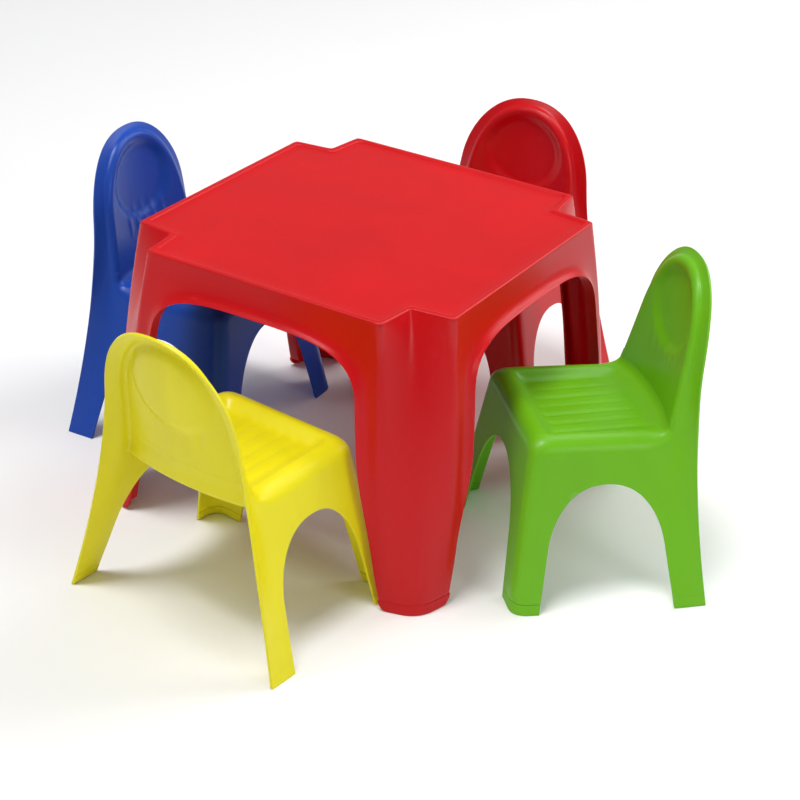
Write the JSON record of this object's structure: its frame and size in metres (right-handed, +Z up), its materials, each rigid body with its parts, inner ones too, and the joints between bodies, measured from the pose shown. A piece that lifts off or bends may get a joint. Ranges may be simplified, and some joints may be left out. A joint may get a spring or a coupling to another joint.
{
  "type": "kids table and chairs",
  "caption": "Square child's table with notched corners and arched sides, and low one-piece chairs with rounded backs that slide in under it.",
  "frame": {"origin": "on the floor, under the middle of the whole group's footprint", "axes": "+Z up; X and Y along the table's sides; -Y is the table's front side, where the yellow chair stands"},
  "size_m": [1.1084, 1.0784, 0.473],
  "materials": {
    "table_gloss": "glossy moulded polypropylene",
    "table_pad": "satin foot pad in the same colour",
    "yellow_chair_gloss": "glossy moulded polypropylene",
    "yellow_chair_pad": "satin foot pad in the same colour",
    "green_chair_gloss": "glossy moulded polypropylene",
    "green_chair_pad": "satin foot pad in the same colour",
    "blue_chair_gloss": "glossy moulded polypropylene",
    "blue_chair_pad": "satin foot pad in the same colour",
    "red_chair_gloss": "glossy moulded polypropylene",
    "red_chair_pad": "satin foot pad in the same colour"
  },
  "bodies": {
    "table": {"table_shell": "table_gloss", "table_foot_front_left": "table_pad", "table_foot_front_right": "table_pad", "table_foot_rear_left": "table_pad", "table_foot_rear_right": "table_pad"},
    "yellow_chair": {"yellow_chair_shell": "yellow_chair_gloss", "yellow_chair_foot_front_left": "yellow_chair_pad", "yellow_chair_foot_front_right": "yellow_chair_pad", "yellow_chair_foot_rear_left": "yellow_chair_pad", "yellow_chair_foot_rear_right": "yellow_chair_pad"},
    "green_chair": {"green_chair_shell": "green_chair_gloss", "green_chair_foot_front_left": "green_chair_pad", "green_chair_foot_front_right": "green_chair_pad", "green_chair_foot_rear_left": "green_chair_pad", "green_chair_foot_rear_right": "green_chair_pad"},
    "blue_chair": {"blue_chair_shell": "blue_chair_gloss", "blue_chair_foot_front_left": "blue_chair_pad", "blue_chair_foot_front_right": "blue_chair_pad", "blue_chair_foot_rear_left": "blue_chair_pad", "blue_chair_foot_rear_right": "blue_chair_pad"},
    "red_chair": {"red_chair_shell": "red_chair_gloss", "red_chair_foot_front_left": "red_chair_pad", "red_chair_foot_front_right": "red_chair_pad", "red_chair_foot_rear_left": "red_chair_pad", "red_chair_foot_rear_right": "red_chair_pad"}
  },
  "joints": [
    {"name": "yellow_chair_pull_out", "type": "slide", "parent": "table", "child": "yellow_chair", "axis": [-0.0941, -0.9956, 0], "range_m": [0, 0.3]},
    {"name": "green_chair_pull_out", "type": "slide", "parent": "table", "child": "green_chair", "axis": [0.7059, 0.7083, 0], "range_m": [0, 0.3]},
    {"name": "blue_chair_pull_out", "type": "slide", "parent": "table", "child": "blue_chair", "axis": [-0.9983, -0.0576, 0], "range_m": [0, 0.3]},
    {"name": "red_chair_pull_out", "type": "slide", "parent": "table", "child": "red_chair", "axis": [-0.0209, 0.9998, 0], "range_m": [0, 0.3]}
  ]
}
